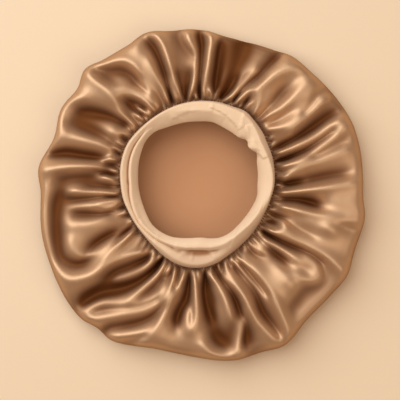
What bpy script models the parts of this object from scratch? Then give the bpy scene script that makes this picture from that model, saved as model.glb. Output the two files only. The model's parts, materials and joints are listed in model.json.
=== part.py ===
"""A satin sleep bonnet, laid on its crown with the head opening up.

Two cloth pieces: the crown, a round of satin whose edge is drawn into gathers, and
the soft band that the gathered edge is sewn to. Metres, +Z up. The crown rests on
z = 0, and the middle of its outline is over the origin.
"""
import math
from collections import namedtuple

import bmesh
import bpy

# Driving dimensions of the crown
CROWN_RADIUS = 0.170        # mean reach of the lying crown from the band's axis
CROWN_WALL = 0.0012         # satin
REST_SHARE = 0.90           # share of the reach that lies flat on the table
RIM_HEIGHT = 0.009          # height of the outermost edge, where the cloth turns back
PUFF_HEIGHT = 0.0355        # top of the billow between rim and band
FOLD_DEPTH = 0.0085         # height of the tallest fold over the billow
GATHER_DEPTH = 0.0024       # height of the small gathers beside the band
GATHERS = 48                # small gathers round the band

# Driving dimensions of the band
BAND_RADIUS = 0.082         # mean radius of the seam that joins crown and band
BAND_WALL = 0.003           # doubled cloth over its elastic
BAND_RISE = 0.016           # crest of the band over the seam
SEAM_HEIGHT = 0.0265        # height of the crown's gathered edge at the seam
SEAM_ALLOWANCE = 0.004      # what the crown's edge runs in under the band
SEAM_GAP = 0.0006           # between the crown's edge and the band on it
LIP_WIDTH = 0.0015          # flat outer edge of the band, on the gathers

# How finely the cloth is faceted
CROWN_COLUMNS = 3 * GATHERS
BAND_COLUMNS = 68

SATIN_COLOUR = (0.42, 0.235, 0.125, 1.0)
BAND_COLOUR = (0.83, 0.63, 0.42, 1.0)

# The lying crown's outline, seen from above: reach from the band's axis, as a share of
# CROWN_RADIUS, at its corners and hollows. Degrees run anticlockwise from +X.
Outline = namedtuple("Outline", "deg reach")
OUTLINE = [
    Outline(0, 1.010), Outline(20, 1.018), Outline(33, 0.998), Outline(45, 0.975),
    Outline(54, 0.972), Outline(62, 0.940), Outline(78, 0.920), Outline(90, 0.948),
    Outline(100, 0.953), Outline(109, 0.980), Outline(116, 0.952), Outline(127, 0.954),
    Outline(134.5, 0.985), Outline(141, 0.938), Outline(151, 0.952), Outline(162, 0.920),
    Outline(174, 0.976), Outline(183, 0.957), Outline(197, 0.995), Outline(210, 1.027),
    Outline(228, 1.085), Outline(235, 1.068), Outline(241, 1.088), Outline(255, 1.035),
    Outline(268, 1.050), Outline(282, 1.097), Outline(291, 1.096), Outline(298.5, 1.117),
    Outline(309, 1.062), Outline(320, 1.058), Outline(328.5, 1.070), Outline(338, 1.040),
    Outline(349, 1.042), Outline(355, 1.015),
]

# The crown's billow from the rim, along 0, to the seam, along 1. Up is a share of the
# way from RIM_HEIGHT to PUFF_HEIGHT, and of the way to SEAM_HEIGHT past the top.
Billow = namedtuple("Billow", "along up")
OUTER_BILLOW = [
    Billow(0.0, 0.0), Billow(0.035, 0.30), Billow(0.09, 0.52), Billow(0.17, 0.71),
    Billow(0.27, 0.86), Billow(0.38, 0.96), Billow(0.50, 1.0),
]
INNER_BILLOW = [
    Billow(0.62, 0.05), Billow(0.73, 0.20), Billow(0.82, 0.42), Billow(0.895, 0.68),
    Billow(0.95, 0.88), Billow(1.0, 1.0),
]

# The crown's main folds: where each crest or hollow lies at the rim and at the seam, its
# half width, its height as a share of FOLD_DEPTH (hollows below 0), and the stretch
# between rim, 0, and seam, 1, that it covers.
Fold = namedtuple("Fold", "rim_deg seam_deg half_deg height start end")
FOLDS = [
    Fold(1, -4, 3.0, 1.00, 0.05, 1.0), Fold(6, 2, 3.0, -0.70, 0.20, 1.0),
    Fold(14, 7, 3.2, 0.85, 0.08, 1.0), Fold(18, 12, 2.6, -0.55, 0.25, 1.0),
    Fold(23, 16, 3.0, 0.85, 0.08, 1.0), Fold(29, 24, 3.0, -0.90, 0.10, 1.0),
    Fold(34, 30, 2.6, 0.70, 0.04, 1.0), Fold(40, 37, 3.4, 0.90, 0.08, 0.9),
    Fold(48, 46, 3.6, -0.55, 0.12, 1.0), Fold(51, 62, 3.2, 0.85, 0.05, 0.95),
    Fold(60, 66, 3.2, -0.60, 0.05, 1.0), Fold(60, 73, 2.8, 0.65, 0.35, 1.0),
    Fold(73, 79, 5.0, -0.90, 0.10, 1.0), Fold(84, 87, 3.0, 0.95, 0.04, 1.0),
    Fold(90, 91, 2.6, -0.70, 0.05, 0.8), Fold(96, 94, 2.8, 0.50, 0.08, 1.0),
    Fold(101, 97, 2.8, -0.50, 0.30, 1.0), Fold(106, 102, 3.0, 0.95, 0.04, 1.0),
    Fold(109, 107, 2.6, -0.75, 0.06, 1.0), Fold(114, 111, 3.4, 0.65, 0.10, 0.85),
    Fold(124, 117, 3.0, 0.80, 0.05, 1.0), Fold(128, 123, 3.4, -0.85, 0.08, 0.6),
    Fold(136, 122, 3.0, 0.60, 0.03, 1.0), Fold(135, 127, 2.6, -0.60, 0.45, 1.0),
    Fold(140, 136, 4.0, 0.60, 0.04, 0.8), Fold(151, 143, 5.6, -0.85, 0.10, 0.9),
    Fold(162, 150, 4.0, 0.55, 0.05, 1.0), Fold(167, 161, 3.0, -0.85, 0.05, 1.0),
    Fold(173, 168, 3.0, 0.85, 0.02, 1.0), Fold(181, 174, 5.0, -0.60, 0.12, 0.9),
    Fold(187, 184, 3.4, 0.55, 0.35, 1.0), Fold(199, 197, 4.6, 0.65, 0.22, 0.9),
    Fold(207, 207, 3.2, -0.60, 0.25, 1.0), Fold(213, 216, 3.0, 0.55, 0.25, 1.0),
    Fold(217, 229, 3.4, 0.90, 0.02, 1.0), Fold(224, 240, 3.4, -1.00, 0.05, 1.0),
    Fold(229, 246, 3.0, 0.90, 0.03, 1.0), Fold(235, 251, 2.6, -0.55, 0.10, 1.0),
    Fold(240, 256, 3.0, 0.90, 0.02, 1.0), Fold(247, 259, 2.6, -0.55, 0.10, 0.9),
    Fold(255, 261, 3.4, 0.75, 0.10, 1.0), Fold(263, 265, 3.0, -1.00, 0.22, 1.0),
    Fold(269, 268, 3.0, 0.75, 0.25, 1.0), Fold(278, 275, 4.2, -0.75, 0.06, 1.0),
    Fold(285, 281, 3.0, 0.80, 0.03, 1.0), Fold(289, 285, 2.8, -1.00, 0.12, 1.0),
    Fold(293, 290, 3.0, 0.80, 0.05, 1.0), Fold(297, 295, 2.6, -0.50, 0.04, 1.0),
    Fold(301, 299, 3.2, 1.00, 0.02, 1.0), Fold(307, 305, 4.0, -0.45, 0.10, 0.7),
    Fold(314, 310, 4.6, 0.60, 0.20, 1.0), Fold(320, 319, 3.2, -0.55, 0.12, 1.0),
    Fold(329, 325, 3.0, 0.95, 0.02, 1.0), Fold(335, 333, 3.4, -0.65, 0.10, 0.9),
    Fold(341, 340, 3.8, 0.80, 0.12, 1.0), Fold(346, 347, 2.6, -0.80, 0.04, 1.0),
    Fold(352, 351, 3.4, 0.55, 0.05, 0.6), Fold(357, 353, 2.6, -0.80, 0.30, 1.0),
]

# The band's section at each station round the opening: radii from its axis as shares of
# BAND_RADIUS, and heights over its lip as shares of BAND_RISE. From the lip on the gathers
# it climbs to a crest, dips in a crease, rolls over and drops to the free edge.
Station = namedtuple("Station", "deg lip crest crease roll edge crest_up crease_up roll_up edge_up")
STATIONS = [
    Station(0, 0.960, 0.925, 0.885, 0.835, 0.755, 1.00, 0.92, 0.70, 0.10),
    Station(30, 1.040, 1.000, 0.950, 0.895, 0.825, 1.00, 0.90, 0.70, 0.15),
    Station(50, 1.085, 1.010, 0.955, 0.880, 0.800, 1.05, 0.92, 0.80, 0.20),
    Station(75, 1.075, 0.985, 0.930, 0.880, 0.812, 1.00, 0.86, 0.66, 0.15),
    Station(90, 1.060, 0.960, 0.905, 0.855, 0.797, 0.95, 0.84, 0.64, 0.15),
    Station(115, 1.025, 0.965, 0.915, 0.875, 0.825, 0.95, 0.84, 0.64, 0.15),
    Station(133, 1.006, 0.980, 0.945, 0.910, 0.872, 1.05, 0.84, 0.60, 0.20),
    Station(150, 1.025, 0.990, 0.935, 0.880, 0.808, 1.05, 0.70, 0.66, 0.20),
    Station(165, 1.008, 0.965, 0.910, 0.852, 0.766, 1.00, 0.62, 0.72, 0.15),
    Station(182, 0.950, 0.925, 0.880, 0.830, 0.750, 0.95, 0.62, 0.74, 0.10),
    Station(203, 0.905, 0.885, 0.855, 0.820, 0.742, 0.95, 0.70, 0.78, 0.10),
    Station(225, 0.935, 0.890, 0.855, 0.815, 0.748, 1.00, 0.72, 0.82, 0.15),
    Station(240, 0.980, 0.895, 0.850, 0.795, 0.732, 0.90, 0.68, 0.86, 0.20),
    Station(255, 1.035, 0.900, 0.838, 0.770, 0.682, 0.80, 0.64, 0.90, 0.25),
    Station(270, 1.048, 0.890, 0.826, 0.756, 0.657, 0.78, 0.62, 0.90, 0.25),
    Station(285, 1.010, 0.890, 0.833, 0.770, 0.688, 0.84, 0.64, 0.88, 0.20),
    Station(300, 0.945, 0.870, 0.830, 0.790, 0.728, 0.95, 0.84, 0.80, 0.15),
    Station(315, 0.935, 0.832, 0.800, 0.762, 0.700, 1.05, 0.94, 0.72, 0.15),
    Station(337, 0.935, 0.870, 0.835, 0.795, 0.740, 1.05, 0.94, 0.72, 0.12),
]


def turn_between(start_deg, end_deg):
    """The way round from one bearing to another, from -180 to 180 degrees."""
    return (end_deg - start_deg + 180) % 360 - 180


def round_the_table(rows, deg, column):
    """A column of a table that runs round the circle, read smoothly at any bearing."""
    count = len(rows)
    first = max(range(count), key=lambda i: (rows[i].deg <= deg % 360, rows[i].deg))
    before, here, after, beyond = (rows[(first + step) % count] for step in (-1, 0, 1, 2))
    span = (after.deg - here.deg) % 360
    span_before = (here.deg - before.deg) % 360
    span_beyond = (beyond.deg - after.deg) % 360
    low, here_value, after_value, high = (getattr(row, column) for row in (before, here, after, beyond))
    slope_here = (after_value - low) / (span + span_before) * span
    slope_after = (high - here_value) / (span + span_beyond) * span
    t = (deg % 360 - here.deg) % 360 / span
    return (
        here_value * (2 * t**3 - 3 * t**2 + 1)
        + after_value * (3 * t**2 - 2 * t**3)
        + slope_here * (t**3 - 2 * t**2 + t)
        + slope_after * (t**3 - t**2)
    )


def eased(value, start, end):
    """0 before start, 1 after end, and a smooth step between."""
    t = min(1, max(0, (value - start) / (end - start)))
    return t * t * (3 - 2 * t)


def fold_lift(deg, along):
    """Height of the main folds at a bearing, as a share of FOLD_DEPTH."""
    lift = 0
    for fold in FOLDS:
        middle = fold.rim_deg + along * turn_between(fold.rim_deg, fold.seam_deg)
        away = turn_between(middle, deg) / fold.half_deg
        if abs(away) < 3:
            fades_in = eased(along, fold.start - 0.12, fold.start + 0.12)
            fades_out = 1 - eased(along, fold.end - 0.12, fold.end + 0.12)
            lift += fold.height * fades_in * fades_out * math.exp(-away * away)
    return lift


def gather_lift(deg, along):
    """Height of the small gathers that are drawn up beside the band."""
    near_band = eased(along, 0.62, 0.92)
    return near_band * math.cos(math.radians(deg * GATHERS))


def polar(deg, reach, height):
    """A point at a bearing and a distance from the band's axis."""
    angle = math.radians(deg)
    return (reach * math.cos(angle), reach * math.sin(angle), height)


def crown_section(deg):
    """The crown's cloth at one bearing, from the table, round the rim and in to the seam."""
    rim = CROWN_RADIUS * round_the_table(OUTLINE, deg, "reach")
    seam = BAND_RADIUS * round_the_table(STATIONS, deg, "lip")
    on_table = CROWN_WALL / 2
    rests_to = rim * REST_SHARE
    turn = rim - rests_to
    points = [
        polar(deg, rests_to, on_table),
        polar(deg, rests_to + 0.55 * turn, on_table + 0.12 * RIM_HEIGHT),
        polar(deg, rests_to + 0.88 * turn, on_table + 0.45 * RIM_HEIGHT),
    ]
    for row in OUTER_BILLOW + INNER_BILLOW:
        if row in OUTER_BILLOW:
            height = RIM_HEIGHT + row.up * (PUFF_HEIGHT - RIM_HEIGHT)
        else:
            height = PUFF_HEIGHT + row.up * (SEAM_HEIGHT - PUFF_HEIGHT)
        stands = eased(row.along, 0.0, 0.25) * (1 - eased(row.along, 0.80, 1.0))
        height += FOLD_DEPTH * stands * fold_lift(deg, row.along)
        drawn = 1 - eased(row.along, 0.93, 1.0)
        height += GATHER_DEPTH * drawn * gather_lift(deg, row.along)
        points.append(polar(deg, rim + row.along * (seam - rim), height))
    points.append(polar(deg, seam - SEAM_ALLOWANCE, SEAM_HEIGHT))
    return points


def band_section(deg):
    """The band's cloth at one bearing, from its lip on the gathers to its free edge."""
    radius = {
        name: BAND_RADIUS * round_the_table(STATIONS, deg, name)
        for name in ("lip", "crest", "crease", "roll", "edge")
    }
    up = {
        name: BAND_RISE * round_the_table(STATIONS, deg, name + "_up")
        for name in ("crest", "crease", "roll", "edge")
    }
    foot = SEAM_HEIGHT + CROWN_WALL / 2 + SEAM_GAP + BAND_WALL / 2
    shoulder = radius["lip"] - LIP_WIDTH
    climb = shoulder - radius["crest"]
    drop = radius["roll"] - radius["edge"]
    return [
        polar(deg, radius["lip"], foot),
        polar(deg, shoulder, foot),
        polar(deg, shoulder - 0.30 * climb, foot + 0.55 * up["crest"]),
        polar(deg, radius["crest"], foot + up["crest"]),
        polar(deg, radius["crease"], foot + up["crease"]),
        polar(deg, radius["roll"], foot + up["roll"]),
        polar(deg, radius["roll"] - 0.65 * drop, foot + 0.62 * up["roll"] + 0.38 * up["edge"]),
        polar(deg, radius["edge"], foot + up["edge"]),
    ]


def outline_middle():
    """The middle of the lying crown's outline, seen from the band's axis."""
    bearings = [360 / CROWN_COLUMNS * k for k in range(CROWN_COLUMNS)]
    rim = [polar(d, CROWN_RADIUS * round_the_table(OUTLINE, d, "reach"), 0) for d in bearings]
    return [(max(point[axis] for point in rim) + min(point[axis] for point in rim)) / 2 for axis in (0, 1)]


def cloth_material(name, colour, roughness, sheen):
    """A plain cloth material."""
    material = bpy.data.materials.new(name)
    material.use_nodes = True
    material.diffuse_color = colour
    shader = material.node_tree.nodes["Principled BSDF"]
    shader.inputs["Base Color"].default_value = colour
    shader.inputs["Roughness"].default_value = roughness
    shader.inputs["Sheen Weight"].default_value = sheen
    return material


def lofted_cloth(name, sections, wall, material, closed_foot, collection, axis_at):
    """A ring of cloth through the sections, as thick as its wall. It may be closed at its foot."""
    mesh = bpy.data.meshes.new(name)
    shape = bmesh.new()
    columns = [[shape.verts.new(point) for point in section] for section in sections]
    for here, after in zip(columns, columns[1:] + columns[:1]):
        for low in range(len(here) - 1):
            shape.faces.new((here[low], after[low], after[low + 1], here[low + 1]))
    if closed_foot:
        shape.faces.new([column[0] for column in reversed(columns)])
    shape.to_mesh(mesh)
    shape.free()
    piece = bpy.data.objects.new(name, mesh)
    piece.location = (axis_at[0], axis_at[1], 0)
    collection.objects.link(piece)
    mesh.materials.append(material)
    mesh.shade_smooth()
    thickness = piece.modifiers.new("Cloth thickness", "SOLIDIFY")
    thickness.thickness = wall
    thickness.offset = 0
    return piece


def main():
    for old in list(bpy.data.objects):
        bpy.data.objects.remove(old)
    bonnet = bpy.data.collections.new("Sleep bonnet")
    bpy.context.scene.collection.children.link(bonnet)

    middle_x, middle_y = outline_middle()
    axis_at = (-middle_x, -middle_y)

    crown_bearings = [360 / CROWN_COLUMNS * k for k in range(CROWN_COLUMNS)]
    satin = cloth_material("Satin", SATIN_COLOUR, 0.32, 0.3)
    lofted_cloth("crown", [crown_section(d) for d in crown_bearings], CROWN_WALL, satin, True, bonnet, axis_at)

    band_bearings = [360 / BAND_COLUMNS * k for k in range(BAND_COLUMNS)]
    soft = cloth_material("Soft band cloth", BAND_COLOUR, 0.75, 0.5)
    lofted_cloth("band", [band_section(d) for d in band_bearings], BAND_WALL, soft, False, bonnet, axis_at)


main()
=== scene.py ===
# %% [markdown]
# # A satin sleep bonnet, laid on its crown
#
# A sleep bonnet is a round of satin whose edge is drawn into gathers and sewn to a
# soft band. Here it lies upside down on a table, so the band opens upward and the
# slack satin puffs out in a ring of folds all round it.
#
# The solids of the part are loaded first. They fix where everything is, and the cloth
# that is made below replaces them piece by piece.

import json
import math
import random
from collections import namedtuple

import bpy
import numpy as np
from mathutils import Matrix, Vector


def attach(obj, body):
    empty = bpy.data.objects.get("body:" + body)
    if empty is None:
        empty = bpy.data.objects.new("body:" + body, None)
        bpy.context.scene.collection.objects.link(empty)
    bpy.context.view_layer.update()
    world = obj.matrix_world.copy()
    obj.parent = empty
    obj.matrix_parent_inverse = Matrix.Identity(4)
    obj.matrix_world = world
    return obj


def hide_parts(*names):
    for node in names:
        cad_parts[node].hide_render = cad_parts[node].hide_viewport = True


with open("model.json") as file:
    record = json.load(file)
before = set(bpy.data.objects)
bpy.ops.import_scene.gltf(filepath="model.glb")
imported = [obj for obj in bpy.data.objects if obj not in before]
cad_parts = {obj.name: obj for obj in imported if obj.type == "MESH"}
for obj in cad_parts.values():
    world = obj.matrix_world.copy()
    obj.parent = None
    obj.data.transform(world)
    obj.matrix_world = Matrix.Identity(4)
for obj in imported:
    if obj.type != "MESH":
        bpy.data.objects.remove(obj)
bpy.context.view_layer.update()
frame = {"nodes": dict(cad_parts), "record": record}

# %% [markdown]
# ## Measure the part that is already there
#
# The outline of the lying crown and the round of the seam are not typed in again. They
# can be measured on the loaded solids: at each bearing round the band's axis, the point
# that reaches furthest is the outline. Reading them keeps the cloth true to the part.

# %% Outline and seam, by bearing
MM = 0.001
CROWN_COLUMNS = 720         # points round each ring of the crown
ON_BEARING = 0.4            # degrees to either side that still count as on a bearing
RIM_PASSES, SEAM_PASSES = 5, 12     # how often the outline and the seam are softened
mounts = {mount["name"]: mount for mount in frame["record"]["mounts"]}
BAND_AXIS = np.array(mounts["head_opening"]["pos_m"][:2])


def reach_by_bearing(node, bearings):
    """How far a solid reaches from the band's axis at each bearing, in metres."""
    points = np.array([vertex.co[:2] for vertex in frame["nodes"][node].data.vertices])
    away = points - BAND_AXIS
    reach = np.hypot(away[:, 0], away[:, 1])
    bearing = np.degrees(np.arctan2(away[:, 1], away[:, 0])) % 360
    order = np.argsort(bearing)
    steps = np.unique(np.round(bearing[order], 1))
    furthest = [reach[np.abs((bearing - step + 180) % 360 - 180) < ON_BEARING].max() for step in steps]
    return np.interp(bearings, steps, furthest, period=360)


def softened(values, passes):
    """Values round a ring, each drawn a little towards its neighbours."""
    for _ in range(passes):
        values = 0.25 * np.roll(values, 1) + 0.5 * values + 0.25 * np.roll(values, -1)
    return values


bearings = np.arange(CROWN_COLUMNS) * 360 / CROWN_COLUMNS
rim_reach = softened(reach_by_bearing("crown", bearings), RIM_PASSES)
seam_reach = softened(reach_by_bearing("band", bearings), SEAM_PASSES)
print("The outline reaches", rim_reach.min().round(4), "to", rim_reach.max().round(4), "m")
print("The seam lies at", seam_reach.min().round(4), "to", seam_reach.max().round(4), "m")

# %% [markdown]
# ## The lie of the satin, before its folds
#
# Between the table and the band the cloth turns round the rim, rises over a puffed
# billow and comes down to the seam. A section of that shape at every bearing, swept
# round, is the plain crown. The folds are heights that are added to it afterwards,
# because then each fold can run its own way across the sweep.

# %% The plain section
SATIN_WALL = 0.0008         # drawn a little thicker than satin is
REST_SHARE = 0.90           # share of the reach that lies flat on the table
RIM_HEIGHT = 0.013          # where the outermost edge turns back
SEAM_HEIGHT = 0.0265        # gathered edge, under the band's lip
SEAM_ALLOWANCE = 0.0045     # what the edge runs in under the lip

FLOOR_ROWS = 7
TURN_ROWS = 5
BILLOW_ROWS = 54
INNER_RING = 0.03           # share of the floor's reach at its innermost ring
ROWS_TO_RIM = 1.08          # above 1 draws the billow's rows towards the rim
Billow = namedtuple("Billow", "along height")
BILLOW = [
    Billow(0.0, 13.0), Billow(0.014, 20.0), Billow(0.036, 25.5), Billow(0.07, 28.8),
    Billow(0.13, 31.2), Billow(0.24, 33.0), Billow(0.40, 34.2), Billow(0.60, 34.2),
    Billow(0.73, 33.6), Billow(0.82, 31.6), Billow(0.895, 29.9), Billow(0.95, 28.6),
    Billow(0.985, 27.6), Billow(1.0, 26.5),
]


def smooth_through(places, heights, wanted):
    """A smooth curve through a table's points, read at the wanted places."""
    places = np.array(places, float)
    heights = np.array(heights, float)
    slopes = np.gradient(heights, places)
    here = np.clip(np.searchsorted(places, wanted, side="right") - 1, 0, len(places) - 2)
    span = places[here + 1] - places[here]
    t = (wanted - places[here]) / span
    return (
        heights[here] * (2 * t**3 - 3 * t**2 + 1)
        + heights[here + 1] * (3 * t**2 - 2 * t**3)
        + slopes[here] * span * (t**3 - 2 * t**2 + t)
        + slopes[here + 1] * span * (t**3 - t**2)
    )


def plain_crown():
    """Reach and height of the plain crown, one row a ring from its middle to the seam."""
    rests_to = rim_reach * REST_SHARE
    reach = [rests_to * share for share in np.linspace(INNER_RING, 1, FLOOR_ROWS)]
    height = [SATIN_WALL / 2] * FLOOR_ROWS
    for turn in np.linspace(0, math.pi / 2, TURN_ROWS + 2)[1:-1]:
        reach.append(rests_to + (rim_reach - rests_to) * math.sin(turn))
        height.append(SATIN_WALL / 2 + RIM_HEIGHT * (1 - math.cos(turn)))
    along = np.linspace(0, 1, BILLOW_ROWS) ** ROWS_TO_RIM
    height += list(MM * smooth_through(*zip(*BILLOW), along))
    reach += [rim_reach + share * (seam_reach - rim_reach) for share in along]
    for inward in (0.5, 1.0):
        reach.append(seam_reach - inward * SEAM_ALLOWANCE)
        height.append(SEAM_HEIGHT)
    along = np.concatenate([np.zeros(FLOOR_ROWS + TURN_ROWS), along, [1.0, 1.0]])
    return np.array(reach), np.array(height)[:, None], along


crown_reach, crown_height, crown_along = plain_crown()
print("The plain crown has", crown_reach.shape[0], "rings of", crown_reach.shape[1], "points")

# %% [markdown]
# ## The folds
#
# Most folds start at the band, where the gathers push them up, and run out over the
# billow, often curving and widening on their way. A sculptor would draw a crest line
# first and model the flanks down from it. The table does the same: each row has the
# crest's path as bearings and distances from the band's axis, its half width at both
# ends, its height, and how plump it is across. A hollow is a row with its height below
# 0, and so is a low crest between two hollows. A pinched hollow ends in a sharp line,
# because there two folds press on each other.

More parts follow.
